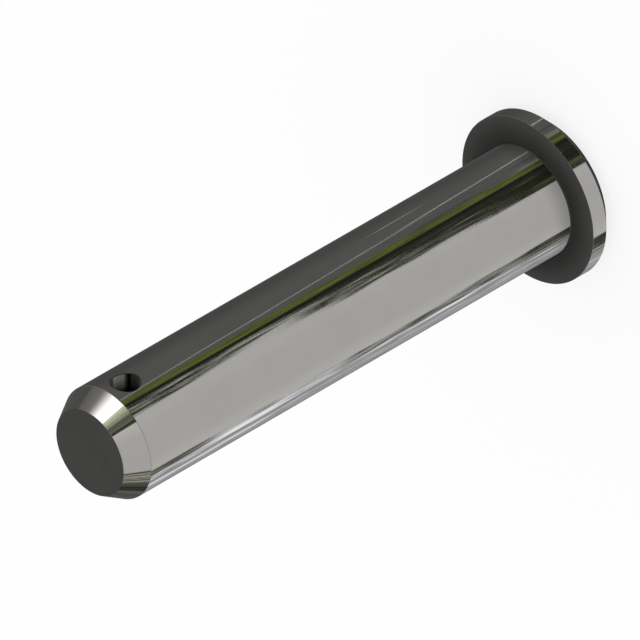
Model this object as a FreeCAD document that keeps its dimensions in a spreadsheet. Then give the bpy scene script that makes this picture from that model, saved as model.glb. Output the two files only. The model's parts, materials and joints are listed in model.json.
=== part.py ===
import FreeCAD, Part
import math
import os
import Sketcher

# A headed clevis pin, turned from one bar of steel and drilled across near its point.
# It stands on its head: the head's end face lies at z = 0, the shank rises along +Z
# to the point, and the split pin's hole runs along Y.

# Every size that can be chosen by itself, in millimetres, with what it measures.
SIZES = [
    ("shank_diameter", 20.0, "the ground running surface"),
    ("shank_length", 100.0, "from the seat under the head to the point's end face"),
    ("head_diameter", 30.0, "over the head's rim"),
    ("head_height", 5.0, "from the end face to the seat"),
    ("head_bevel", 2.0, "each leg of the bevel round the head's end face"),
    ("corner_radius", 0.3, "the turning tool's nose radius left between shank and seat"),
    ("point_length", 4.0, "length of the lead-in cone, along the pin"),
    ("point_slope", 30.0, "slope of the lead-in cone from the pin's axis, in degrees"),
    ("hole_diameter", 5.0, "cross hole for the split pin"),
    ("hole_to_point", 8.0, "from the cross hole's axis to the point's end face"),
    ("mouth_break", 0.15, "each leg of the deburred edge at the cross hole's mouths"),
]

# Two lengths closer than this are the same, in millimetres.
TOLERANCE = 1e-4

# The sketcher's own numbers for a sketch's origin and upright axis, and for a line's
# first point, its last point and a circle's centre.
ORIGIN, UPRIGHT = -1, -2
START, END, CENTRE = 1, 2, 3


def make_sheet(doc):
    """The spreadsheet of driving sizes, one row each: name, value and meaning."""
    sheet = doc.addObject("Spreadsheet::Sheet", "sizes")
    for row, (name, value, meaning) in enumerate(SIZES, start=1):
        sheet.set(f"A{row}", name)
        sheet.set(f"B{row}", str(value))
        sheet.set(f"C{row}", meaning)
        sheet.setAlias(f"B{row}", name)
    doc.recompute()
    return sheet


def new_sketch(body, name, plane_role):
    """A sketch lying on one of the body's own origin planes."""
    sketch = body.newObject("Sketcher::SketchObject", name)
    plane = next(item for item in body.Origin.OriginFeatures if item.Role == plane_role)
    sketch.AttachmentSupport = [(plane, "")]
    sketch.MapMode = "FlatFace"
    return sketch


def bind(sketch, name, constraint, formula):
    """Adds a dimension to a sketch and ties it to the sheet's sizes."""
    index = sketch.addConstraint(constraint)
    sketch.renameConstraint(index, name)
    sketch.setExpression(f"Constraints.{name}", formula)


def turned_profile(body, sheet):
    """Half of the pin's lengthwise section, drawn from its axis outwards and fully fixed."""
    head_radius = sheet.head_diameter / 2
    shank_radius = sheet.shank_diameter / 2
    point_end = sheet.head_height + sheet.shank_length
    point_drop = sheet.point_length * math.tan(math.radians(sheet.point_slope))
    corners = [
        (0, 0),
        (head_radius - sheet.head_bevel, 0),
        (head_radius, sheet.head_bevel),
        (head_radius, sheet.head_height),
        (shank_radius, sheet.head_height),
        (shank_radius, point_end - sheet.point_length),
        (shank_radius - point_drop, point_end),
        (0, point_end),
    ]
    sketch = new_sketch(body, "turned_profile", "XZ_Plane")
    points = [FreeCAD.Vector(radius, height, 0) for radius, height in corners]
    for here, there in zip(points, points[1:] + points[:1]):
        sketch.addGeometry(Part.LineSegment(here, there), False)

    # The lines in order round the section.
    end_face, bevel, rim, seat, shank, cone, point_face, axis = range(len(corners))
    for line in range(len(corners)):
        following = (line + 1) % len(corners)
        sketch.addConstraint(Sketcher.Constraint("Coincident", line, END, following, START))
    sketch.addConstraint(Sketcher.Constraint("Coincident", end_face, START, ORIGIN, START))
    for line in (end_face, seat, point_face):
        sketch.addConstraint(Sketcher.Constraint("Horizontal", line))
    for line in (rim, shank, axis):
        sketch.addConstraint(Sketcher.Constraint("Vertical", line))

    def across(name, line_a, end_a, line_b, end_b, value, formula):
        bind(sketch, name, Sketcher.Constraint(
            "DistanceX", line_a, end_a, line_b, end_b, value), formula)

    def along(name, line_a, end_a, line_b, end_b, value, formula):
        bind(sketch, name, Sketcher.Constraint(
            "DistanceY", line_a, end_a, line_b, end_b, value), formula)

    across("head_radius", end_face, START, rim, START,
           head_radius, "sizes.head_diameter / 2")
    along("head_height", end_face, START, rim, END,
          sheet.head_height, "sizes.head_height")
    across("bevel_width", bevel, START, bevel, END,
           sheet.head_bevel, "sizes.head_bevel")
    along("bevel_height", bevel, START, bevel, END,
          sheet.head_bevel, "sizes.head_bevel")
    across("shank_radius", end_face, START, shank, START,
           shank_radius, "sizes.shank_diameter / 2")
    along("shank_length", shank, START, point_face, START,
          sheet.shank_length, "sizes.shank_length")
    along("point_length", cone, START, cone, END,
          sheet.point_length, "sizes.point_length")
    across("point_drop", cone, END, cone, START,
           point_drop, "sizes.point_length * tan(sizes.point_slope * 1 deg)")
    return sketch


def turn_blank(body, sheet):
    """Turns the section about the pin's axis into the headed, pointed blank."""
    profile = turned_profile(body, sheet)
    blank = body.newObject("PartDesign::Revolution", "turned_blank")
    blank.Profile = profile
    blank.ReferenceAxis = (profile, ["V_Axis"])
    blank.Angle = 360
    profile.Visibility = False
    body.Document.recompute()
    return blank


def edge_names(shape, wanted):
    """Names of the edges of a shape that pass a test of one edge."""
    return [f"Edge{number}" for number, edge in enumerate(shape.Edges, start=1) if wanted(edge)]


def round_corner(body, blank, sheet):
    """Rounds the inner corner where the shank meets the head's seat."""
    def is_corner(edge):
        curve = edge.Curve
        return (isinstance(curve, Part.Circle)
                and abs(curve.Radius - sheet.shank_diameter / 2) < TOLERANCE
                and abs(curve.Center.z - sheet.head_height) < TOLERANCE)

    corner = body.newObject("PartDesign::Fillet", "seat_corner")
    corner.Base = (blank, edge_names(blank.Shape, is_corner))
    corner.setExpression("Radius", "sizes.corner_radius")
    body.Document.recompute()
    return corner


def hole_height(sheet):
    """Height of the cross hole's axis over the head's end face."""
    return sheet.head_height + sheet.shank_length - sheet.hole_to_point


def drill_hole(body, sheet):
    """Drills the split pin's hole right across the shank, square to its axis."""
    sketch = new_sketch(body, "hole_circle", "XZ_Plane")
    centre = FreeCAD.Vector(0, hole_height(sheet), 0)
    upwards = FreeCAD.Vector(0, 0, 1)
    circle = sketch.addGeometry(Part.Circle(centre, upwards, sheet.hole_diameter / 2), False)
    sketch.addConstraint(Sketcher.Constraint("PointOnObject", circle, CENTRE, UPRIGHT))
    bind(sketch, "diameter",
         Sketcher.Constraint("Diameter", circle, sheet.hole_diameter),
         "sizes.hole_diameter")
    bind(sketch, "height",
         Sketcher.Constraint("DistanceY", ORIGIN, START, circle, CENTRE, hole_height(sheet)),
         "sizes.head_height + sizes.shank_length - sizes.hole_to_point")

    hole = body.newObject("PartDesign::Pocket", "split_pin_hole")
    hole.Profile = sketch
    hole.SideType = "Symmetric"
    hole.Type = "Length"
    hole.setExpression("Length", "2 * sizes.shank_diameter")
    sketch.Visibility = False
    body.Document.recompute()
    return hole


def break_mouths(body, hole, sheet):
    """Takes the burr off both mouths of the cross hole with a narrow chamfer."""
    def is_mouth(edge):
        middle = edge.valueAt((edge.FirstParameter + edge.LastParameter) / 2)
        from_hole = FreeCAD.Vector(middle.x, 0, middle.z - hole_height(sheet)).Length
        from_pin = FreeCAD.Vector(middle.x, middle.y, 0).Length
        return (abs(from_hole - sheet.hole_diameter / 2) < TOLERANCE
                and abs(from_pin - sheet.shank_diameter / 2) < TOLERANCE)

    mouths = body.newObject("PartDesign::Chamfer", "mouth_breaks")
    mouths.Base = (hole, edge_names(hole.Shape, is_mouth))
    mouths.setExpression("Size", "sizes.mouth_break")
    body.Document.recompute()
    return mouths


def make_pin(doc, sheet):
    """The whole pin as one body, made in the order of the work: turned, then drilled."""
    body = doc.addObject("PartDesign::Body", "clevis_pin")
    body.Label = "clevis_pin"
    blank = turn_blank(body, sheet)
    corner = round_corner(body, blank, sheet)
    hole = drill_hole(body, sheet)
    if hole.Shape.Volume >= corner.Shape.Volume:
        raise RuntimeError("the cross hole took nothing out of the shank")
    mouths = break_mouths(body, hole, sheet)
    if mouths.Shape.Volume >= hole.Shape.Volume:
        raise RuntimeError("the cross hole's mouths kept their burr")
    body.Tip = mouths
    body.Placement = FreeCAD.Placement()
    doc.recompute()
    return body


def check(doc, parts):
    """Stops if a feature failed, or a part isn't one sound solid."""
    for item in doc.Objects:
        if "Invalid" in item.State or "Error" in item.State:
            raise RuntimeError(f"{item.Name} failed: {item.State}")
    for part in parts:
        if part.Shape.isNull() or not part.Shape.isValid():
            raise RuntimeError(f"{part.Label} has no valid shape")
        if len(part.Shape.Solids) != 1:
            raise RuntimeError(f"{part.Label} isn't one solid")


def main():
    """Builds the pin and writes it as a STEP file under its label."""
    os.makedirs("parts", exist_ok=True)
    doc = FreeCAD.newDocument("clevis_pin_model")
    sheet = make_sheet(doc)
    parts = [make_pin(doc, sheet)]
    check(doc, parts)
    for part in parts:
        part.Shape.exportStep(f"parts/{part.Label}.step")
        box = part.Shape.BoundBox
        print(f"{part.Label}: {box.XLength:.3f} x {box.YLength:.3f} x {box.ZLength:.3f} mm,"
              f" {part.Shape.Volume:.1f} mm3, {len(part.Shape.Faces)} faces")


main()
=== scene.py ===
"""Looks of a headed clevis pin: bright steel, turned, ground and drilled, standing on its head.

The pin is one piece of bar. It is modelled at the frame's sizes as one fine mesh, with the
small broken edges that a turned part has, and dressed in four finishes of the same steel.
"""

import json
import logging
import math
from dataclasses import dataclass
from enum import Enum

import bpy
from mathutils import Matrix, Vector


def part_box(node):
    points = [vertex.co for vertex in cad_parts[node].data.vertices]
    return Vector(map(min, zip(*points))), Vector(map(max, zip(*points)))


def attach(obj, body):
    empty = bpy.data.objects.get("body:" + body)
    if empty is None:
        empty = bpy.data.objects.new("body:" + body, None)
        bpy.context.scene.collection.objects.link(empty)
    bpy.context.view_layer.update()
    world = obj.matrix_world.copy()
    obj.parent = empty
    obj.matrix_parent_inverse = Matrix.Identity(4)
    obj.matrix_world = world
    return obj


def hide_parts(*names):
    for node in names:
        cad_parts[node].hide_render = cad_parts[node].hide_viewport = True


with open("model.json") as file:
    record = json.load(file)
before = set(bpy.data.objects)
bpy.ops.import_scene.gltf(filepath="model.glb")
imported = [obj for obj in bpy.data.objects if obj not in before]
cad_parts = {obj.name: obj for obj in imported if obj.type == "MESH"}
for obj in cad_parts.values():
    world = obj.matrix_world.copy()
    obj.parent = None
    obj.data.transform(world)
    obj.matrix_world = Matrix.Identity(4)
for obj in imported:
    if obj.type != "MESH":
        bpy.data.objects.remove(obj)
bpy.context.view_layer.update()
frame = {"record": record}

MM = 0.001
log = logging.getLogger("clevis_pin")

Object = bpy.types.Object
Tree = bpy.types.NodeTree
Node = bpy.types.Node
Socket = bpy.types.NodeSocket
# What can feed a socket.
Source = Node | Socket

# The kinds of node that are used most.
MATHS = "ShaderNodeMath"
MIX = "ShaderNodeMix"
NOISE = "ShaderNodeTexNoise"
SPLIT = "ShaderNodeSeparateXYZ"
JOIN = "ShaderNodeCombineXYZ"
STEP = "ShaderNodeMapRange"
OUTPUT = "ShaderNodeOutputMaterial"

# The setting that makes a step run smoothly from one level to the other.
SMOOTH = {"interpolation_type": "SMOOTHSTEP"}

# Every pattern lies round this level.
MIDDLE = 0.5


# Small helpers

def linear(hex_colour: str, level: float = 1.0) -> tuple[float, float, float, float]:
    """Turns an sRGB hex colour into linear light.

    Args:
        hex_colour: Six hex digits after a hash sign.
        level: How many times brighter the colour is.

    Returns:
        Red, green, blue and an alpha of 1.
    """
    channels = [int(hex_colour[i:i + 2], 16) / 255 for i in (1, 3, 5)]
    light = [c / 12.92 if c <= 0.04045 else ((c + 0.055) / 1.055) ** 2.4 for c in channels]
    return level * light[0], level * light[1], level * light[2], 1.0


BLACK = linear("#000000")
WHITE = linear("#FFFFFF")


def add_node(tree: Tree, kind: str, *values: object, named: dict[str, object] | None = None,
             **settings: object) -> Node:
    """Adds a node with its settings, its values and its links.

    Args:
        tree: The node tree that gets the node.
        kind: The node's Blender type name.
        *values: What goes into the sockets in use, in their order. Each is a value, or the
            socket or node that feeds it.
        named: The same for sockets that are given by name.
        **settings: Properties of the node itself.

    Returns:
        The new node.
    """
    node = tree.nodes.new(kind)
    for name, value in settings.items():
        setattr(node, name, value)
    feeds = list(zip((socket for socket in node.inputs if socket.enabled), values))
    feeds += [(node.inputs[name], value) for name, value in (named or {}).items()]
    for socket, value in feeds:
        if isinstance(value, Node):
            value = next(output for output in value.outputs if output.enabled)
        if isinstance(value, Socket):
            tree.links.new(value, socket)
        else:
            socket.default_value = value
    return node


def hypotenuse(tree: Tree, *sides: Source) -> Node:
    """Adds the length of the hypotenuse over two sides.

    Args:
        tree: The node tree that gets the steps.
        *sides: The two sides.

    Returns:
        The hypotenuse.
    """
    squares = [add_node(tree, MATHS, side, side, operation="MULTIPLY") for side in sides]
    total = add_node(tree, MATHS, *squares, operation="ADD")
    return add_node(tree, MATHS, total, operation="SQRT")


def activate(piece: Object) -> None:
    """Makes a piece the active one and the only one selected."""
    bpy.ops.object.select_all(action="DESELECT")
    piece.select_set(True)
    bpy.context.view_layer.objects.active = piece


# The pin's sizes

@dataclass(frozen=True)
class PinSizes:
    """The pin's sizes in metres, taken from the frame where it holds them."""

    head_radius: float
    head_height: float
    shank_radius: float
    shank_top: float
    height: float
    hole_radius: float
    hole_height: float
    mouth_break: float
    head_bevel: float = 2.0 * MM
    corner_radius: float = 0.3 * MM
    point_slope: float = math.radians(30)
    edge_break: float = 0.04 * MM

    @classmethod
    def from_frame(cls) -> "PinSizes":
        """Reads the node's box and the mounts.

        Returns:
            The pin's sizes.
        """
        mounts = {mount["name"]: mount for mount in frame["record"]["mounts"]}
        low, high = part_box("clevis_pin")
        shank, hole = mounts["shank"], mounts["split_pin_hole"]
        seat = mounts["head_seat"]["pos_m"][2]
        shank_radius = shank["dims"]["r_mm"] * MM
        return cls(
            head_radius=max(high.x, high.y),
            head_height=seat,
            shank_radius=shank_radius,
            shank_top=seat + cls.corner_radius + shank["dims"]["length_mm"] * MM,
            height=high.z - low.z,
            hole_radius=hole["dims"]["r_mm"] * MM,
            hole_height=hole["pos_m"][2],
            mouth_break=shank_radius - hole["dims"]["length_mm"] * MM / 2)

    @property
    def point_radius(self) -> float:
        """Radius of the flat end past the lead-in cone."""
        return self.shank_radius - (self.height - self.shank_top) * math.tan(self.point_slope)


# Steel finishes

class Marks(Enum):
    """The way that a tool's fine marks run over the pin."""

    ROUND_THE_PIN = "rings along the pin's axis"
    ACROSS_A_FACE = "circles on a flat face"
    ROUND_THE_HOLE = "rings along the cross hole's axis"


class ShadedPlace(Enum):
    """A place where the steel is darkened by painted shade."""

    CORNER_UNDER_HEAD = "the inner corner between shank and seat"
    CONE_EDGE = "the edge where the cone meets the shank"
    INSIDE_HOLE = "the depth of the cross hole"


@dataclass(frozen=True)
class PaintedShade:
    """A painted shade: a darker tone painted on the steel where shade falls.

    At a corner or an edge it is darkest at the place itself and gone at its reach. In the
    hole it starts at the mouth and is darkest from its reach on.
    """

    place: ShadedPlace
    darkest: float
    reach_mm: float

    def tone(self, tree: Tree, point: Source, sizes: PinSizes) -> Node:
        """How bright the steel stays under the painted shade, from the darkest level to 1.

        Args:
            tree: The material's node tree.
            point: Object coordinates, in metres.
            sizes: The pin's sizes.

        Returns:
            The level.
        """
        x, y, z = add_node(tree, SPLIT, point).outputs
        levels = (self.darkest, 1.0)
        if self.place is ShadedPlace.INSIDE_HOLE:
            across = add_node(tree, MATHS, x, x, operation="MULTIPLY")
            squared = add_node(tree, MATHS, sizes.shank_radius ** 2, across, operation="SUBTRACT")
            skin = add_node(tree, MATHS, squared, operation="SQRT")
            out = add_node(tree, MATHS, y, operation="ABSOLUTE")
            away = add_node(tree, MATHS, skin, out, operation="SUBTRACT")
            levels = (1.0, self.darkest)
        elif self.place is ShadedPlace.CONE_EDGE:
            over = add_node(tree, MATHS, z, sizes.shank_top, operation="SUBTRACT")
            away = add_node(tree, MATHS, over, operation="ABSOLUTE")
        else:
            radius = hypotenuse(tree, x, y)
            out = add_node(tree, MATHS, radius, sizes.shank_radius, operation="SUBTRACT")
            over = add_node(tree, MATHS, z, sizes.head_height, operation="SUBTRACT")
            away = hypotenuse(tree, out, over)
        return add_node(tree, STEP, away, 0.0, self.reach_mm * MM, *levels, **SMOOTH)


@dataclass(frozen=True)
class SteelFinish:
    """Bare bright carbon steel with the marks that one way of working it leaves.

    The metal itself is a neutral grey mirror, a shade warmer than chrome. Its marks are rings
    of slightly different height and polish. They are finer than the picture shows on the real
    thing, so their spacing is drawn a little coarser.
    """

    name: str
    light_tone: str
    dark_tone: str
    marks: Marks
    roughness: float
    roughness_spread: float
    spacing_mm: float
    depth_um: float
    patch_mm: float
    # Painted shade: darker steel in the corner under the head, along the cone's edge and in the
    # hole.
    painted_shades: tuple[PaintedShade, ...] = ()
    # Painted shade: depth in the cross hole from which on the reflection is painted black, so
    # that not even a glancing view shows one.
    painted_black_depth_mm: float = 0.0

    def material(self, sizes: PinSizes) -> bpy.types.Material:
        """Builds the finish as a material.

        Args:
            sizes: The pin's sizes, which say where its painted shade lies.

        Returns:
            The new material.
        """
        made = bpy.data.materials.new(self.name)
        made.use_nodes = True
        tree = made.node_tree
        tree.nodes.clear()
        point = add_node(tree, "ShaderNodeTexCoord").outputs["Object"]
        rings = self._rings(tree, point)
        patches = add_node(tree, NOISE, named={
            "Vector": point, "Scale": 1 / (self.patch_mm * MM), "Detail": 4.0, "Roughness": 0.6})
        tone = self._uneven(tree, rings, patches, ring_share=0.4, spread=0.15, low=0.0, high=1.0)
        colour = add_node(tree, MIX, tone, linear(self.dark_tone), linear(self.light_tone),
                          data_type="RGBA")
        # Painted shade darkens the colour towards black at each shaded place.
        for shade_layer in self.painted_shades:
            level = shade_layer.tone(tree, point, sizes)
            colour = add_node(tree, MIX, level, BLACK, colour, data_type="RGBA")
        polish = self._uneven(tree, rings, patches, ring_share=0.65, spread=0.2,
                              low=self.roughness - self.roughness_spread,
                              high=self.roughness + self.roughness_spread)
        relief = add_node(tree, "ShaderNodeBump", named={
            "Height": rings, "Strength": 1.0, "Distance": self.depth_um * MM * MM})
        surface = {"Base Color": colour, "Metallic": 1.0, "Roughness": polish, "Normal": relief}
        # Painted shade: deep in the cross hole the reflection is tinted black.
        if self.painted_black_depth_mm:
            depth = PaintedShade(ShadedPlace.INSIDE_HOLE, 0.0, self.painted_black_depth_mm)
            surface["Specular Tint"] = add_node(
                tree, MIX, depth.tone(tree, point, sizes), BLACK, WHITE, data_type="RGBA")
        add_node(tree, OUTPUT, add_node(tree, "ShaderNodeBsdfPrincipled", named=surface))
        return made

    def _uneven(self, tree: Tree, rings: Source, patches: Source, ring_share: float,
                spread: float, low: float, high: float) -> Node:
        """A level that changes with the tool's marks and from patch to patch.

        Args:
            tree: The material's node tree.
            rings: The pattern of the marks, around 0.5.
            patches: The pattern of the patches, around 0.5.
            ring_share: How much of the change follows the marks, 0 to 1.
            spread: How far from 0.5 the mixed pattern reaches the one and the other level.
            low: The one level.
            high: The other level.

        Returns:
            The level.
        """
        by_rings = add_node(tree, MATHS, rings, ring_share, operation="MULTIPLY")
        by_patches = add_node(tree, MATHS, patches, 1 - ring_share, operation="MULTIPLY")
        mixed = add_node(tree, MATHS, by_rings, by_patches, operation="ADD")
        return add_node(tree, STEP, mixed, MIDDLE - spread, MIDDLE + spread, low, high, **SMOOTH)

    def _rings(self, tree: Tree, point: Source) -> Node:
        """The height of the tool's marks.

        Args:
            tree: The material's node tree.
            point: Object coordinates, in metres.

        Returns:
            A pattern from 0 to 1, closely ringed one way and slowly changing the other.
        """
        x, y, z = add_node(tree, SPLIT, point).outputs
        if self.marks is Marks.ROUND_THE_PIN:
            sides = (x, y, z)
        elif self.marks is Marks.ROUND_THE_HOLE:
            sides = (x, z, y)
        else:
            sides = (x, y, hypotenuse(tree, x, y))
        slow = 1 / (self.patch_mm * MM)
        close = 1 / (self.spacing_mm * MM)
        stretched = add_node(tree, JOIN, *(
            add_node(tree, MATHS, side, scale, operation="MULTIPLY")
            for side, scale in zip(sides, (slow, slow, close))))
        return add_node(tree, NOISE, named={
            "Vector": stretched, "Scale": 1.0, "Detail": 3.0, "Roughness": 0.55})


# Ground and polished: a clear mirror whose edges are drawn out a little along the pin.
GROUND_BRIGHT_STEEL = SteelFinish(
    name="ground_bright_steel", light_tone="#C0BDBA", dark_tone="#BDBAB7",
    marks=Marks.ROUND_THE_PIN, roughness=0.05, roughness_spread=0.015,
    spacing_mm=0.35, depth_um=0.08, patch_mm=9.0,
    # Painted shade towards the corner under the head, and a thin painted dark line along the
    # cone's edge.
    painted_shades=(PaintedShade(ShadedPlace.CORNER_UNDER_HEAD, 0.62, 4.5),
              PaintedShade(ShadedPlace.CONE_EDGE, 0.7, 0.12)))

# Faced on the lathe: satin, with fine circles that soften what the face mirrors.
FACED_STEEL = SteelFinish(
    name="faced_steel", light_tone="#BFBCB8", dark_tone="#B8B5B1",
    marks=Marks.ACROSS_A_FACE, roughness=0.32, roughness_spread=0.03,
    spacing_mm=0.25, depth_um=0.05, patch_mm=7.0,
    # Painted shade on the seat towards the corner under the head.
    painted_shades=(PaintedShade(ShadedPlace.CORNER_UNDER_HEAD, 0.4, 6.5),))

# Drilled and reamed: smooth, with faint rings along the hole. Its dark tones are painted shade,
# darker with depth and with the reflection painted black deep inside.
REAMED_STEEL = SteelFinish(
    name="reamed_steel", light_tone="#7A7975", dark_tone="#696864",
    marks=Marks.ROUND_THE_HOLE, roughness=0.14, roughness_spread=0.04,
    spacing_mm=0.3, depth_um=0.5, patch_mm=3.0,
    painted_shades=(PaintedShade(ShadedPlace.INSIDE_HOLE, 0.03, 3.6),), painted_black_depth_mm=9.0)

# Corner under the head and deburred mouths of the hole: dull, and dark with painted shade.
CORNER_STEEL = SteelFinish(
    name="dull_steel_painted_shade", light_tone="#666563", dark_tone="#5A5957",
    marks=Marks.ROUND_THE_PIN, roughness=0.75, roughness_spread=0.05,
    spacing_mm=0.1, depth_um=0.5, patch_mm=4.0)

FINISHES = (GROUND_BRIGHT_STEEL, FACED_STEEL, REAMED_STEEL, CORNER_STEEL)


# The pin

@dataclass
class ClevisPin:
    """The whole pin: a turned blank with a cross hole, as one closed mesh."""

    sizes: PinSizes
    segments: int = 720
    hole_segments: int = 144
    break_steps: int = 3
    corner_steps: int = 6
    mouth_steps: int = 4
    # Two points of the mesh this near to each other are one.
    merge_distance: float = 0.0001 * MM
    # A measure of the mesh is right within this much.
    slack: float = 0.001 * MM
    # Digits of an angle, in radians, that tell one row of the drill's points from the next.
    angle_digits: int = 5
    # The upward or downward share of its outward direction from which a face counts as flat.
    flat_share: float = 0.99

    def build(self) -> Object:
        """Models and dresses the pin.

        Returns:
            The finished piece, in place of the plain solid.
        """
        piece = self._turn_blank()
        self._break_edges(piece)
        self._drill(piece)
        self._smooth(piece)
        self._dress(piece)
        # The polish mirrors the studio alone: the head and the shank don't show in each other.
        piece.visible_glossy = False
        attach(piece, "root")
        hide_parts("clevis_pin")
        log.info("pin: %d faces, %.1f mm high, %.1f mm over the head", len(piece.data.polygons),
                 self.sizes.height / MM, 2 * self.sizes.head_radius / MM)
        return piece

    def _rings(self) -> dict[str, tuple[float, float]]:
        """Radius and height of each edge ring of the turned blank, from the head upwards."""
        s = self.sizes
        return {
            "end_face": (s.head_radius - s.head_bevel, 0.0),
            "bevel": (s.head_radius, s.head_bevel),
            "rim": (s.head_radius, s.head_height),
            "seat": (s.shank_radius, s.head_height),
            "shank": (s.shank_radius, s.shank_top),
            "point": (s.point_radius, s.height)}

    def _turn_blank(self) -> Object:
        """Raises the blank from the disc of its end face, one edge ring after another.

        Returns:
            The blank, closed, with sharp edges.
        """
        rings = list(self._rings().values())
        bpy.ops.mesh.primitive_circle_add(
            vertices=self.segments, radius=rings[0][0], fill_type="NGON",
            location=(0, 0, rings[0][1]))
        piece = bpy.context.object
        piece.name = piece.data.name = "pin"
        bpy.ops.object.mode_set(mode="EDIT")
        bpy.ops.mesh.select_mode(type="FACE")
        bpy.ops.mesh.select_all(action="SELECT")
        for (radius, height), (next_radius, next_height) in zip(rings, rings[1:]):
            bpy.ops.mesh.extrude_region_move(
                TRANSFORM_OT_translate={"value": (0, 0, next_height - height)})
            scale = next_radius / radius
            bpy.ops.transform.resize(value=(scale, scale, 1), center_override=(0, 0, next_height))
        bpy.ops.mesh.select_all(action="SELECT")
        bpy.ops.mesh.normals_make_consistent()
        bpy.ops.object.mode_set(mode="OBJECT")
        return piece

    def _select_ring(self, piece: Object, radius: float, height: float) -> int:
        """Selects the edges that run round the pin at one radius and height.

        Args:
            piece: The pin, in object mode.
            radius: The ring's radius.
            height: The ring's height.

        Returns:
            How many edges were found.
        """
        mesh = piece.data
        on_ring = [abs(v.co.z - height) < self.slack
                   and abs(math.hypot(v.co.x, v.co.y) - radius) < self.slack
                   for v in mesh.vertices]
        for group in (mesh.polygons, mesh.vertices):
            group.foreach_set("select", [False] * len(group))
        chosen = [on_ring[e.vertices[0]] and on_ring[e.vertices[1]] for e in mesh.edges]
        mesh.edges.foreach_set("select", chosen)
        return sum(chosen)

    def _break_edges(self, piece: Object) -> None:
        """Rounds the corner under the head and takes the sharpness off every outer edge.

        Args:
            piece: The blank, changed in place.
        """
        s = self.sizes
        for name, (radius, height) in self._rings().items():
            inner = name == "seat"
            found = self._select_ring(piece, radius, height)
            if found != self.segments:
                raise RuntimeError(f"the {name} ring has {found} edges")
            bpy.ops.object.mode_set(mode="EDIT")
            bpy.ops.mesh.select_mode(type="EDGE")
            bpy.ops.mesh.bevel(offset=s.corner_radius if inner else s.edge_break,
                               segments=self.corner_steps if inner else self.break_steps,
                               affect="EDGES", clamp_overlap=False)
            bpy.ops.object.mode_set(mode="OBJECT")

    def _skin(self, across: float) -> float:
        """How far out along Y the shank's surface lies, at a distance along X."""
        return math.sqrt(self.sizes.shank_radius ** 2 - across ** 2)

    def _drill_profile(self, angle: float) -> list[tuple[float, float]]:
        """Half of the drill's outline at one angle round the hole's axis.

        The stretch at the mouth follows the curved shank, and flares by the broken edge.

        Args:
            angle: Angle round the hole's axis, from +X.

        Returns:
            Radius and distance along Y, from the pin's middle outwards.
        """
        s = self.sizes
        reach = s.hole_radius + s.mouth_break
        edge = self._skin(s.hole_radius * math.cos(angle))
        inner = Vector((s.hole_radius, edge - s.mouth_break))
        corner = Vector((s.hole_radius, edge))
        outer = Vector((reach, self._skin(reach * math.cos(angle))))
        profile = [(s.hole_radius, 0.0)]
        for i in range(self.mouth_steps + 1):
            t = i / self.mouth_steps
            point = inner * (1 - t) ** 2 + corner * 2 * t * (1 - t) + outer * t ** 2
            profile.append((point.x, point.y))
        beyond = (outer - corner).normalized() * s.mouth_break
        profile.append((reach + beyond.x, outer.y + beyond.y + s.mouth_break / 2))
        profile.append((reach + beyond.x, s.shank_radius + s.hole_radius))
        return profile

    def _make_drill(self) -> Object:
        """Shapes the tool whose outline the hole takes, mouths included.

        Returns:
            A closed body along Y through the hole's place.
        """
        s = self.sizes
        stations = len(self._drill_profile(0.0))
        bpy.ops.mesh.primitive_circle_add(
            vertices=self.hole_segments, radius=s.hole_radius, fill_type="NGON")
        drill = bpy.context.object
        bpy.ops.object.mode_set(mode="EDIT")
        bpy.ops.mesh.select_mode(type="FACE")
        bpy.ops.mesh.select_all(action="SELECT")
        for _ in range(2 * stations - 2):
            bpy.ops.mesh.extrude_region_move(TRANSFORM_OT_translate={"value": (0, 0, MM)})
        bpy.ops.object.mode_set(mode="OBJECT")
        profiles = {}
        for vertex in drill.data.vertices:
            angle = math.atan2(vertex.co.y, vertex.co.x)
            row = round(angle, self.angle_digits)
            if row not in profiles:
                profiles[row] = self._drill_profile(angle)
            station = round(vertex.co.z / MM) - (stations - 1)
            radius, out = profiles[row][abs(station)]
            vertex.co = (radius * math.cos(angle), math.copysign(out, station),
                         s.hole_height + radius * math.sin(angle))
        bpy.ops.object.mode_set(mode="EDIT")
        bpy.ops.mesh.select_all(action="SELECT")
        bpy.ops.mesh.normals_make_consistent()
        bpy.ops.object.mode_set(mode="OBJECT")
        return drill

    def _drill(self, piece: Object) -> None:
        """Cuts the cross hole with its two broken mouths.

        Args:
            piece: The blank, changed in place.
        """
        s = self.sizes
        activate(piece)
        bpy.ops.object.mode_set(mode="EDIT")
        clear = s.hole_radius + 2 * s.mouth_break
        for height in (s.hole_height - clear, s.hole_height + clear):
            bpy.ops.mesh.select_all(action="SELECT")
            bpy.ops.mesh.bisect(plane_co=(0, 0, height), plane_no=(0, 0, 1))
        bpy.ops.object.mode_set(mode="OBJECT")
        drill = self._make_drill()
        activate(piece)
        cut = piece.modifiers.new("hole", "BOOLEAN")
        cut.operation = "DIFFERENCE"
        cut.solver = "EXACT"
        cut.object = drill
        bpy.ops.object.modifier_apply(modifier=cut.name)
        bpy.data.objects.remove(drill)

    def _smooth(self, piece: Object) -> None:
        """Shades the pin round, with each turned or drilled surface ruling up to its edges.

        Args:
            piece: The drilled pin, changed in place.
        """
        activate(piece)
        bpy.ops.object.mode_set(mode="EDIT")
        bpy.ops.mesh.select_all(action="SELECT")
        bpy.ops.mesh.remove_doubles(threshold=self.merge_distance)
        bpy.ops.mesh.normals_make_consistent()
        bpy.ops.object.mode_set(mode="OBJECT")
        bpy.ops.object.shade_smooth()
        mesh = piece.data
        mesh.normals_split_custom_set_from_vertices(
            [self._facing(vertex.co) or vertex.normal for vertex in mesh.vertices])

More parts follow.
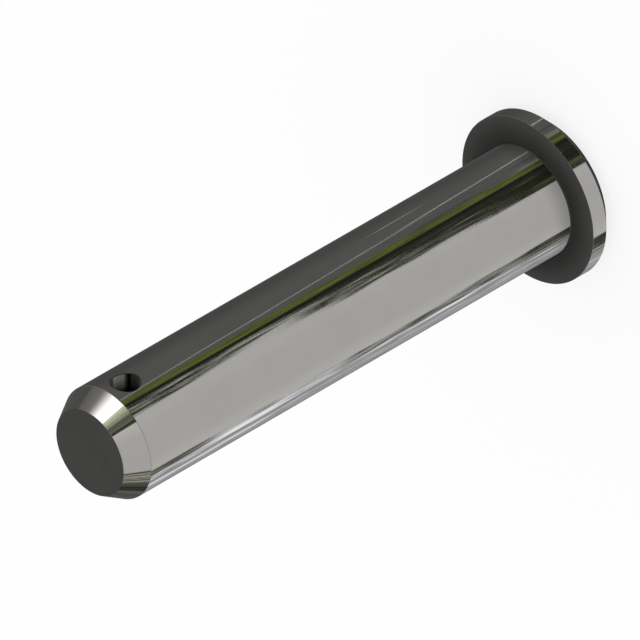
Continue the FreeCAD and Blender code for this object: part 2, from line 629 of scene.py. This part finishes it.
    def _facing(self, point: Vector) -> Vector | None:
        """The way that a turned or drilled surface faces at a point.

        Args:
            point: A point of the pin.

        Returns:
            The outward direction, or nothing for a point on a broken edge.
        """
        s = self.sizes
        radius = math.hypot(point.x, point.y)
        from_hole = math.hypot(point.x, point.z - s.hole_height)
        if abs(from_hole - s.hole_radius) < self.slack:
            return Vector((-point.x, 0, s.hole_height - point.z)) / from_hole
        outline = [(0.0, 0.0), *self._rings().values(), (0.0, s.height)]
        for (start, foot), (end, top) in zip(outline, outline[1:]):
            across, up = end - start, top - foot
            size = math.hypot(across, up)
            off = ((radius - start) * up - (point.z - foot) * across) / size
            along = ((radius - start) * across + (point.z - foot) * up) / size
            if abs(off) < self.slack and -self.slack < along < size + self.slack:
                out = up / size / radius if radius else 0.0
                return Vector((point.x * out, point.y * out, -across / size))
        return None

    def _dress(self, piece: Object) -> None:
        """Gives each face the finish of the tool that made it, or painted shade at the corner and
        the hole's mouths.

        Args:
            piece: The smooth pin, changed in place.
        """
        for finish in FINISHES:
            piece.data.materials.append(finish.material(self.sizes))
        for face in piece.data.polygons:
            face.material_index = FINISHES.index(self._finish_of(face))

    def _finish_of(self, face: bpy.types.MeshPolygon) -> SteelFinish:
        """The finish of the tool that made a face, or the dark finish of painted shade.

        Args:
            face: A face of the pin.

        Returns:
            One of the finishes.
        """
        s = self.sizes
        centre = face.center
        radius = math.hypot(centre.x, centre.y)
        from_hole = math.hypot(centre.x, centre.z - s.hole_height)
        if from_hole < s.hole_radius:
            return REAMED_STEEL
        under_skin = radius < s.shank_radius - self.slack
        at_mouth = from_hole < s.hole_radius + s.mouth_break and under_skin
        in_corner = (s.shank_radius < radius < s.shank_radius + s.corner_radius
                     and centre.z > s.head_height + self.slack)
        # The corner under the head and the hole's mouths get the dark finish of painted shade.
        if at_mouth or in_corner:
            return CORNER_STEEL
        # The lathe tool that faces the seat runs out over the rim's edge.
        over_rim = (s.head_radius - s.edge_break < radius < s.head_radius
                    and centre.z > s.head_height - s.edge_break)
        if abs(face.normal.z) > self.flat_share or over_rim:
            return FACED_STEEL
        return GROUND_BRIGHT_STEEL


# The studio

Edge = float | tuple[tuple[float, float], ...]


class Weave(Enum):
    """How a cloth's streaks run: how many to a degree and to a step of height, and a seed."""

    FINE = (0.7, 0.12, 50.0)
    BROKEN = (0.22, 0.2, 90.0)
    LONG = (0.25, 0.12, 130.0)
    # The way in which ragged edges wander.
    WANDERING = (0.33, 0.12, 0.0)


@dataclass(frozen=True)
class Cloth:
    """One cloth of the tent, between two upright edges and from a foot to a top.

    Its edges are azimuths in degrees, from +X towards +Y. An edge that isn't upright is a
    row of points, each a height and an azimuth. A ragged edge wanders by about that many
    degrees, and streaks of the light tone run along the cloth's dark tone. A torn cloth
    hangs in strips, and a falling one sinks by that much with each degree from its left edge.
    The level makes its tones that many times brighter, and a fade over 1 thins soft edges.
    """

    dark: str
    light: str
    left: Edge
    right: Edge
    foot: float = -5000.0
    top: float = 5000.0
    soft: tuple[float, float] = (1.0, 1.0)
    soft_ends: float = 10.0
    ragged: tuple[float, float] = (0.0, 0.0)
    weave: Weave = Weave.FINE
    light_share: float = 0.5
    torn_share: float = 0.0
    fall: float = 0.0
    level: float = 1.0
    fade: float = 1.0


# Where the pale cloth of the drum ends and the dark one begins, at either end of it.
DARK_EDGE = ((0, 49.3), (8, 49.3), (16, 49.8), (20, 53.5), (24, 56), (32, 55), (46, 55.8),
             (56, 55.3), (60, 57), (64, 62), (66, 68), (68, 75), (72, 76), (76, 74),
             (80, 71.3), (84, 67.2), (92, 65.3), (100, 62.9), (105, 62))
FAR_EDGE = ((0, -45.5), (8, -46), (12, -48.3), (28, -49), (33, -53.5), (40, -52), (48, -55),
            (56, -52.3), (80, -54), (92, -56.5), (100, -53.7), (105, -53))

# The middle of a thin pale cord that hangs aslant across the dark grey.
CORD_EDGE = ((0, 129.6), (8, 127.3), (16, 125), (24, 123.1), (32, 120.4), (36, 117.9),
             (44, 116.7), (60, 113.1), (76, 109.8), (84, 108.8), (92, 107.2), (105, 103.6))

# A pale thread over the dark streaks.
THREAD_EDGE = ((58, 74.8), (66, 76.5), (75, 78.2), (84, 79.3), (90, 79.8))

# Where the pin's cone mirrors the drum: a line that falls as it runs round to the back.
CONE_EDGE = ((100, 224.5), (160, 216.2), (213, 208.6), (260, 200.7), (304, 192.6),
             (344, 184.4), (382, 176), (418, 167.3), (460, 156.5))


def beside(edge: tuple[tuple[float, float], ...], shift: float) -> Edge:
    """The same edge, that many degrees further round."""
    return tuple((height, azimuth + shift) for height, azimuth in edge)


def mirrored(edge: tuple[tuple[float, float], ...], shift: float) -> Edge:
    """The edge mirrored at the main view's middle, 45 degrees, and then shifted."""
    return tuple((height, 90 - azimuth + shift) for height, azimuth in edge)


# Both edges of the cord.
CORD = (beside(CORD_EDGE, -0.6), beside(CORD_EDGE, 0.6))

# Low drum. Heights are in millimetres, counted so that a band at a height is mirrored at
# that height on the pin when the pin is seen along equal angles to its three axes.
DRUM_CLOTHS = (
    Cloth("#535454", "#565756", -200, 400),
    # Dark grey, with a thin pale cord and a short dash.
    Cloth("#696A6A", "#6E6F6E", 96, 160, soft=(1, 60)),
    Cloth("#646565", "#6F7070", 96, CORD_EDGE),
    Cloth("#BDBFBC", "#D6D8D5", *CORD, soft=(0.6, 0.6)),
    Cloth("#D6D8D5", "#F0F2F0", *CORD, top=35, soft=(0.6, 0.6)),
    Cloth("#C4C6C3", "#E0E2DF", 146.3, 147.4, foot=27, top=38, soft=(0.6, 0.6), soft_ends=4),
    # Pale cloth, with the light a little stronger at both of its edges.
    Cloth("#D7D8D8", "#D9DADA", -66, 90),
    Cloth("#E0E0E0", "#E4E4E4", -66, -34, soft=(1, 30)),
    Cloth("#DCDDDD", "#E0E0E0", 42, 90, soft=(34, 1)),
    # Dark green-grey streaks all along, and darker ones near the head and halfway up.
    Cloth("#2B2F25", "#BEC3B7", DARK_EDGE, 88, ragged=(4, 0), weave=Weave.BROKEN,
          light_share=0.33),
    Cloth("#2A2E24", "#7E8275", DARK_EDGE, 88, top=38, soft_ends=10, ragged=(4, 0),
          weave=Weave.BROKEN, light_share=0.36),
    Cloth("#20241B", "#9EA295", 63, 88, foot=38, top=67, soft_ends=6, soft=(6, 1),
          weave=Weave.BROKEN, light_share=0.3),
    Cloth("#2A2E24", "#585C50", 66, 88, top=36, soft_ends=10, soft=(8, 1),
          weave=Weave.BROKEN, light_share=0.25),
    Cloth("#23261E", "#353C2A", 51, 88, top=12, soft_ends=3),
    # A pale thread, short pale dashes and, close to the head, a grey wisp over them.
    Cloth("#C2C8BC", "#DDE2D8", beside(THREAD_EDGE, -1), beside(THREAD_EDGE, 0.9),
          foot=62, top=86, soft_ends=5),
    Cloth("#B0B5AA", "#CCD1C7", 69, 70.6, foot=53, top=57, soft_ends=3),
    Cloth("#BCC1B6", "#D8DDD3", 73, 75, foot=48.5, top=53, soft_ends=3),
    Cloth("#B0B5AA", "#CCD1C7", 70.3, 72.2, foot=42, top=46.5, soft_ends=3),
    Cloth("#9A9F94", "#B4B9AE", 65.3, 66.9, foot=33, top=35.5, soft_ends=2),
    Cloth("#BABFB4", "#D4D9CF", 80.5, 82.2, foot=22.5, top=26.5, soft_ends=3),
    Cloth("#A6ABA0", "#C4C9BE", 70.2, 72, foot=20.5, top=25, soft_ends=3),
    Cloth("#72746F", "#8E908C", ((4, 79), (8, 73)), ((4, 87), (8, 80)), foot=5, top=7.6,
          soft=(4, 4), soft_ends=1.5),
    # Black gap, olive strip, and grey blotches beside it near the head.
    Cloth("#2C3127", "#3A3F34", 78.5, 91, top=67, soft=(4, 1), soft_ends=8),
    Cloth("#23271D", "#2C3126", 83.8, 91, soft=(1.5, 1)),
    Cloth("#525B33", "#7A893C", 90, 99.1, soft=(4.5, 3.5), weave=Weave.BROKEN),
    Cloth("#484944", "#5C5D57", 98.5, 105, foot=10, top=33, soft=(2, 2), soft_ends=6,
          weave=Weave.BROKEN, torn_share=0.6),
    # What only the head's rim mirrors: green patches, a tan patch low down, a darker side of
    # the olive strip, the grey patch beside it and a dark wisp.
    Cloth("#464B38", "#525744", 52.5, 58, top=5.3, soft=(3, 2), soft_ends=1.5),
    Cloth("#5D6446", "#6E7552", 56.8, 60.8, top=4.3, soft=(2, 3), soft_ends=1.5),
    Cloth("#7C7E70", "#9A9C8E", -60, -50, top=5.3, soft=(2, 3), soft_ends=1.5),
    Cloth("#4A4F36", "#535840", 95, 100, top=4.3, soft=(2, 2), soft_ends=1.5),
    Cloth("#8A8C86", "#969892", 100.2, 106, top=4.3, soft=(2, 3), soft_ends=1.5),
    Cloth("#53544F", "#5C5D58", 113.5, 116.5, top=5.3, soft=(2, 2), soft_ends=1.5),
    # Streaky lavender grey, ragged dark edge and a bright gap between them.
    Cloth("#9C9CA1", "#BEBEC3", -137, -72, foot=-60, soft_ends=40, weave=Weave.LONG,
          light_share=0.6),
    Cloth("#8E8E92", "#98989C", -137, -110, foot=-60, soft_ends=40, soft=(1, 8)),
    Cloth("#B4B4B8", "#DADADC", -94, -83, foot=-60, soft_ends=40, soft=(4, 2),
          weave=Weave.LONG, light_share=0.6),
    Cloth("#F0F5FB", "#F6FBFF", -94.5, -87, foot=76, soft=(3, 3), soft_ends=5, ragged=(1, 1),
          level=1.15),
    Cloth("#A9AFB0", "#F0F5FA", -76, -64, foot=-60, soft_ends=40, soft=(3, 1), ragged=(2, 2),
          weave=Weave.LONG, level=1.1),
    Cloth("#E2E7ED", "#F4F9FF", -74, -61.5, foot=73, top=92, soft_ends=14, ragged=(2, 3),
          weave=Weave.LONG, level=1.6),
    Cloth("#F4F9FF", "#F4F9FF", -74, -68.8, foot=23.5, top=36, soft_ends=4, ragged=(2, 1),
          level=1.45),
    Cloth("#F4F9FF", "#F4F9FF", -73.5, -69, foot=44.5, top=48.5, soft_ends=3, level=1.35),
    Cloth("#EAEFF5", "#F4F9FF", -73, -68.7, foot=61, top=69, soft_ends=3, ragged=(1, 1)),
    Cloth("#F4F9FF", "#F4F9FF", -73.5, -69.5, foot=11.5, top=15.5, soft_ends=3, level=1.1),
    Cloth("#8C8E88", "#A4A6A0", -72, -62, top=11, foot=-60, soft_ends=4),
    Cloth("#363A32", "#B9BEBB", -67.5, FAR_EDGE, foot=-400, top=58, soft_ends=8,
          ragged=(3, 3), weave=Weave.LONG, light_share=0.58),
    Cloth("#34372D", "#6E7168", -59, FAR_EDGE, foot=-60, top=11.5, soft_ends=4,
          ragged=(3, 1), weave=Weave.LONG, light_share=0.4),
    Cloth("#A6ABA9", "#EAEFF2", -62, FAR_EDGE, foot=58, soft_ends=8,
          ragged=(5, 5), weave=Weave.LONG, light_share=0.65),
    Cloth("#56584A", "#9A9D92", -64.5, -51, foot=93.5, soft=(3, 2), soft_ends=5,
          weave=Weave.LONG),
    # Panels that light the sides and the back, where the other cloths leave them dark.
    Cloth("#C4C5C6", "#CECFD0", 112, 205, foot=150, soft=(8, 6), soft_ends=40),
    Cloth("#C4C5C6", "#CECFD0", 115, 205, top=-90, soft=(8, 8), soft_ends=40),
    # Dark cards that the bevel and the cone mirror.
    Cloth("#3E3F3E", "#434442", -137, -124, top=-130, soft=(1, 6), soft_ends=60),
    Cloth("#3E3F3E", "#434442", 213, 223, top=-130, soft=(6, 1), soft_ends=60),
    Cloth("#5E5F5E", "#636462", beside(CONE_EDGE, -15), beside(CONE_EDGE, 15), foot=110,
          soft=(4, 4), soft_ends=20),
    Cloth("#5D5E5D", "#636462", mirrored(CONE_EDGE, -15), mirrored(CONE_EDGE, 15), foot=110,
          soft=(4, 4), soft_ends=20),
    Cloth("#6E706D", "#747673", -95, -86, foot=340, soft=(3, 2), soft_ends=20),
    Cloth("#38392F", "#4A4B3F", -85, -73, foot=340, soft=(4, 2), soft_ends=20),
)

# Crown over the drum. Heights are degrees of elevation.
CROWN_CLOTHS = (
    Cloth("#555657", "#595A5B", -200, 400),
    Cloth("#D7D8D8", "#D9DADA", -44, 54, foot=-30, top=50, soft_ends=4),
    Cloth("#E6E7E6", "#E8E9E8", 36, 60, foot=-30, top=50, soft=(36, 1), soft_ends=4),
    Cloth("#444839", "#7E8474", 51, 72, foot=-30, top=40, soft=(1, 4), soft_ends=4,
          ragged=(2, 3)),
    Cloth("#7E8468", "#C8CFAE", 69, 80, foot=-30, top=40, soft=(3, 4), soft_ends=4,
          ragged=(3, 2)),
    Cloth("#DDE6C8", "#F2FADF", 78, 90, foot=-30, top=40, soft=(6, 2), soft_ends=4,
          ragged=(3, 0)),
    # Dim glow, and the one bright panel in front of it.
    Cloth("#8A8B89", "#8E8F8D", 110, 156, foot=-30, top=34, soft=(1, 50), soft_ends=6),
    Cloth("#FFFFFF", "#FFFFFF", 87.5, 122, foot=21.5, top=29.5, soft=(2, 34), soft_ends=4,
          fall=0.25, level=2.2, fade=1.5),
    Cloth("#5C5E54", "#C0C2B8", -66, -40.5, foot=-30, top=24, soft=(2, 1), soft_ends=4,
          ragged=(2, 3)),
    Cloth("#5A5B4E", "#66675A", -72, -64, foot=-30, top=24, soft=(2, 2), soft_ends=4),
    # A black strip that the wall of the cross hole mirrors.
    Cloth("#0C0C0B", "#121210", -89, -55, foot=43, top=60, soft=(3, 3), soft_ends=2),
    Cloth("#D0D1D1", "#D6D7D7", -200, 400, foot=72, soft_ends=10),
)


@dataclass
class Tent:
    """A tent round the pin that only the steel mirrors: pale on one side, dark on the other.

    A polished pin shows what stands round it and little of its own. The tent gives it the
    long bands of pale and dark, the olive strip and the ragged dark edge that make the
    steel read as a clear mirror. The camera, the floor and the shadows don't see the tent.
    """

    drum_radius: float = 0.5
    drum_top: float = 0.108
    crown_radius: float = 2.0
    crown_top: float = 3.0
    foot: float = -0.9
    sides: int = 128
    # What the drum's heights count from: how much lower the view's mirrored rays strike it.
    drum_drop: float = 0.35
    # Azimuths run from this seam, where no cloth of the drum begins or ends by chance.
    seam: float = -137.0
    # How many millimetres of the drum one degree of the crown is worth to a weave.
    crown_steps: float = 0.4
    # Nearly all of a streaky pattern lies between these two levels.
    pattern_low: float = 0.35
    pattern_high: float = 0.65
    # Half of a streak's soft edge, in levels of the pattern.
    streak_edge: float = 0.03
    # Degrees that an edge as ragged as one degree moves when its pattern changes by 1.
    swing: float = 2.0

    def build(self) -> None:
        """Raises the low drum and the crown above it."""
        log.info("tent: drum of %.1f m, crown of %.1f m", self.drum_radius, self.crown_radius)
        drum = self._wall("tent_drum", self.drum_radius, self.drum_top)
        self._open_top(drum)
        crown = self._wall("tent_crown", self.crown_radius, self.crown_top)
        drum.data.materials.append(self._weave(drum.name, DRUM_CLOTHS, by_angle=False))
        crown.data.materials.append(self._weave(crown.name, CROWN_CLOTHS, by_angle=True))
        for wall in (drum, crown):
            for ray in ("camera", "diffuse", "transmission", "volume_scatter", "shadow"):
                setattr(wall, f"visible_{ray}", False)

    def _wall(self, name: str, radius: float, top: float) -> Object:
        """Makes one closed drum.

        Args:
            name: The object's name.
            radius: The drum's radius.
            top: Height of its top.

        Returns:
            The drum.
        """
        bpy.ops.mesh.primitive_cylinder_add(
            vertices=self.sides, radius=radius, depth=top - self.foot,
            location=(0, 0, (top + self.foot) / 2), end_fill_type="NGON")
        wall = bpy.context.object
        wall.name = wall.data.name = name
        bpy.ops.object.transform_apply()
        return wall

    def _open_top(self, wall: Object) -> None:
        """Takes the lid off a drum.

        Args:
            wall: The drum, selected and active.
        """
        highest = max(face.center.z for face in wall.data.polygons)
        for face in wall.data.polygons:
            face.select = face.center.z == highest
        bpy.ops.object.mode_set(mode="EDIT")
        bpy.ops.mesh.select_mode(type="FACE")
        bpy.ops.mesh.delete(type="ONLY_FACE")
        bpy.ops.object.mode_set(mode="OBJECT")

    def _weave(self, name: str, cloths: tuple[Cloth, ...],
               by_angle: bool) -> bpy.types.Material:
        """Hangs cloths one over another as a glowing wall.

        Args:
            name: The material's name.
            cloths: The cloths, the lowest layer first.
            by_angle: True if heights are an elevation in degrees, False for millimetres.

        Returns:
            The wall's material.
        """
        made = bpy.data.materials.new(name)
        made.use_nodes = True
        made.cycles.emission_sampling = "NONE"
        tree = made.node_tree
        tree.nodes.clear()
        point = add_node(tree, "ShaderNodeTexCoord").outputs["Object"]
        x, y, z = add_node(tree, SPLIT, point).outputs
        degrees = math.degrees(1)
        turn = add_node(tree, MATHS, y, x, operation="ARCTAN2")
        azimuth = add_node(tree, MATHS, turn, degrees, operation="MULTIPLY")
        behind = add_node(tree, MATHS, azimuth, self.seam, operation="LESS_THAN")
        azimuth = add_node(tree, MATHS, behind, 360.0, azimuth, operation="MULTIPLY_ADD")
        if by_angle:
            slope = add_node(tree, MATHS, z, hypotenuse(tree, x, y), operation="ARCTAN2")
            height = add_node(tree, MATHS, slope, degrees, operation="MULTIPLY")
        else:
            counted = add_node(tree, MATHS, z, self.drum_drop, operation="ADD")
            height = add_node(tree, MATHS, counted, MM, operation="DIVIDE")
        used = {Weave.WANDERING, *(cloth.weave for cloth in cloths)}
        steps = self.crown_steps if by_angle else 1.0
        patterns = {weave: self._streaks(tree, azimuth, height, weave, steps)
                    for weave in Weave if weave in used}
        wander = patterns[Weave.WANDERING]
        colour = BLACK
        for cloth in cloths:
            share = self._share(tree, cloth, azimuth, height, wander)
            if cloth.torn_share:
                strips = self._part(tree, wander, 1 - cloth.torn_share)
                share = add_node(tree, MATHS, share, strips, operation="MULTIPLY")
            woven = add_node(
                tree, MIX, self._part(tree, patterns[cloth.weave], cloth.light_share),
                linear(cloth.dark, cloth.level), linear(cloth.light, cloth.level),
                data_type="RGBA")
            colour = add_node(tree, MIX, share, colour, woven, data_type="RGBA")
        add_node(tree, OUTPUT, add_node(tree, "ShaderNodeEmission", colour, 1.0))
        return made

    def _part(self, tree: Tree, pattern: Source, share: float) -> Node:
        """Picks the higher part of a streaky pattern.

        Args:
            tree: The wall's node tree.
            pattern: The pattern, around 0.5.
            share: About how much of the wall is picked, 0 to 1.

        Returns:
            1 where the pattern is picked, 0 elsewhere, with short steps between.
        """
        middle = self.pattern_high - (self.pattern_high - self.pattern_low) * share
        low, high = middle - self.streak_edge, middle + self.streak_edge
        return add_node(tree, STEP, pattern, low, high, **SMOOTH)

    def _streaks(self, tree: Tree, azimuth: Source, height: Source, weave: Weave,
                 steps: float) -> Node:
        """A streaky pattern around 0.5.

        Args:
            tree: The wall's node tree.
            azimuth: Degrees round the tent.
            height: Height on the wall.
            weave: How the streaks run.
            steps: How many steps of the weave one unit of height makes.

        Returns:
            The pattern.
        """
        across, along, seed = weave.value
        if weave is Weave.BROKEN:
            # Broken streaks lean as the dark cloth's edge does.
            leaning = self._edge(tree, DARK_EDGE, height)
            azimuth = add_node(tree, MATHS, azimuth, leaning, operation="SUBTRACT")
        woven = add_node(
            tree, JOIN,
            add_node(tree, MATHS, azimuth, across, seed, operation="MULTIPLY_ADD"),
            add_node(tree, MATHS, height, along * steps, operation="MULTIPLY"))
        return add_node(
            tree, NOISE, noise_dimensions="2D",
            named={"Vector": woven, "Scale": 1.0, "Detail": 1.5, "Roughness": 0.5})

    def _edge(self, tree: Tree, edge: Edge, height: Source) -> float | Node:
        """Azimuth of a cloth's edge at each height.

        Args:
            tree: The wall's node tree.
            edge: One azimuth, or a row of heights with azimuths.
            height: Height on the wall.

        Returns:
            The azimuth.
        """
        if not isinstance(edge, tuple):
            return edge
        heights, azimuths = zip(*edge)
        low, span = min(azimuths), max(azimuths) - min(azimuths)
        foot, rise = heights[0], heights[-1] - heights[0]
        above = add_node(tree, MATHS, height, foot, operation="SUBTRACT")
        where = add_node(tree, MATHS, above, rise, operation="DIVIDE")
        node = add_node(tree, "ShaderNodeFloatCurve", named={"Value": where})
        curve = node.mapping.curves[0]
        points = [((h - foot) / rise, (a - low) / span) for h, a in edge]
        curve.points[0].location, curve.points[1].location = points[0], points[-1]
        for point in points[1:-1]:
            curve.points.new(*point)
        node.mapping.update()
        return add_node(tree, MATHS, node, span, low, operation="MULTIPLY_ADD")

    def _share(self, tree: Tree, cloth: Cloth, azimuth: Source, height: Source,
               wander: Source) -> Node:
        """How far a cloth covers what hangs behind it.

        Args:
            tree: The wall's node tree.
            cloth: The cloth.
            azimuth: Degrees round the tent.
            height: Height on the wall.
            wander: The pattern that makes edges ragged.

        Returns:
            The cover, 0 to 1.
        """
        left, right = (self._edge(tree, edge, height) for edge in (cloth.left, cloth.right))
        if cloth.fall:
            across = add_node(tree, MATHS, azimuth, left, operation="SUBTRACT")
            height = add_node(tree, MATHS, across, cloth.fall, height, operation="MULTIPLY_ADD")
        cover: float | Node = 1.0
        for upper, lower, soft, ragged in (
                (azimuth, left, cloth.soft[0], cloth.ragged[0]),
                (right, azimuth, cloth.soft[1], cloth.ragged[1]),
                (height, cloth.foot, cloth.soft_ends, 0.0),
                (cloth.top, height, cloth.soft_ends, 0.0)):
            inward = add_node(tree, MATHS, upper, lower, operation="SUBTRACT")
            if ragged:
                shift = add_node(tree, MATHS, wander, MIDDLE, operation="SUBTRACT")
                inward = add_node(tree, MATHS, shift, self.swing * ragged, inward,
                                  operation="MULTIPLY_ADD")
            side = add_node(tree, STEP, inward, -soft / 2, soft / 2, **SMOOTH)
            cover = add_node(tree, MATHS, cover, side, operation="MULTIPLY")
        return add_node(tree, MATHS, cover, cloth.fade, operation="POWER")


@dataclass
class Studio:
    """Pale floor, soft light, the tent and the camera."""

    floor_radius: float = 1.2
    floor_sides: int = 128
    floor_colour: str = "#FCFCFC"
    floor_white_share: float = 0.78
    world_level: float = 0.98
    backdrop_level: float = 1.0
    frame_width: float = 103.43 * MM
    half_view: float = math.radians(0.75)
    aim: tuple[float, float, float] = (-37.33 * MM, -21.57 * MM, 30.3 * MM)
    sensor_mm: float = 36.0
    clip: tuple[float, float] = (0.1, 20.0)
    lamp_place: tuple[float, float, float] = (0.25, 0.15, 0.9)
    lamp_size: float = 0.5
    lamp_watts: float = 0.2

    def build(self) -> None:
        """Sets the whole studio up."""
        Tent().build()
        self._floor()
        self._world()
        self._lamp()
        self._camera()
        bpy.context.scene.view_settings.view_transform = "Standard"

    def _floor(self) -> None:
        """Lays a round matt floor under the pin, seen for the most part as plain white."""
        bpy.ops.mesh.primitive_circle_add(
            vertices=self.floor_sides, radius=self.floor_radius, fill_type="NGON")
        floor = bpy.context.object
        floor.name = floor.data.name = "floor"
        paint = bpy.data.materials.new("matt_pale_floor")
        paint.use_nodes = True
        tree = paint.node_tree
        tree.nodes.clear()
        matt = add_node(tree, "ShaderNodeBsdfDiffuse", linear(self.floor_colour))
        white = add_node(tree, "ShaderNodeEmission", WHITE, self.backdrop_level)
        seen = add_node(tree, "ShaderNodeLightPath").outputs["Is Camera Ray"]
        share = add_node(tree, MATHS, seen, self.floor_white_share, operation="MULTIPLY")
        add_node(tree, OUTPUT, add_node(tree, "ShaderNodeMixShader", share, matt, white))
        floor.data.materials.append(paint)
        # The pin mirrors the tent alone.
        floor.visible_glossy = False
        log.info("floor: %.1f m across", 2 * self.floor_radius)

    def _world(self) -> None:
        """Fills the studio with even white light, and ends the view in a white backdrop."""
        world = bpy.data.worlds.new("even_light")
        bpy.context.scene.world = world
        world.use_nodes = True
        tree = world.node_tree
        tree.nodes.clear()
        seen = add_node(tree, "ShaderNodeLightPath").outputs["Is Camera Ray"]
        levels = (self.world_level, self.backdrop_level)
        level = add_node(tree, STEP, seen, 0.0, 1.0, *levels, **SMOOTH)
        light = add_node(tree, "ShaderNodeBackground", WHITE, level)
        add_node(tree, "ShaderNodeOutputWorld", light)

    def _lamp(self) -> None:
        """Hangs one large soft lamp overhead, for the pin's shadow on the floor."""
        bpy.ops.object.light_add(type="AREA", location=self.lamp_place)
        lamp = bpy.context.object
        lamp.name = "overhead_lamp"
        lamp.data.size = self.lamp_size
        lamp.data.energy = self.lamp_watts
        lamp.rotation_euler = (-Vector(lamp.location)).to_track_quat("-Z", "Y").to_euler()
        lamp.visible_glossy = False

    def _camera(self) -> None:
        """Looks along the pin's point, head away, as the photo does.

        The three axes of the row are seen at equal angles. The camera stands far off with a
        long lens, because the photo has no perspective.
        """
        back = Vector((1, 1, 1)).normalized()
        right = Vector((1, 0, -1)).normalized()
        up = back.cross(right)
        distance = self.frame_width / 2 / math.tan(self.half_view)
        data = bpy.data.cameras.new("camera")
        data.sensor_width = self.sensor_mm
        data.lens = self.sensor_mm / 2 / math.tan(self.half_view)
        data.clip_start, data.clip_end = self.clip
        camera = bpy.data.objects.new("camera", data)
        bpy.context.scene.collection.objects.link(camera)
        target = right * self.aim[0] + up * self.aim[1] + back * self.aim[2]
        camera.matrix_world = Matrix.Translation(target + back * distance) @ Matrix(
            (right, up, back)).transposed().to_4x4()
        bpy.context.scene.camera = camera


def main() -> None:
    """Builds the pin, then the studio round it."""
    logging.basicConfig(level=logging.INFO, format="%(name)s: %(message)s")
    ClevisPin(PinSizes.from_frame()).build()
    Studio().build()


if __name__ == "__main__":
    main()
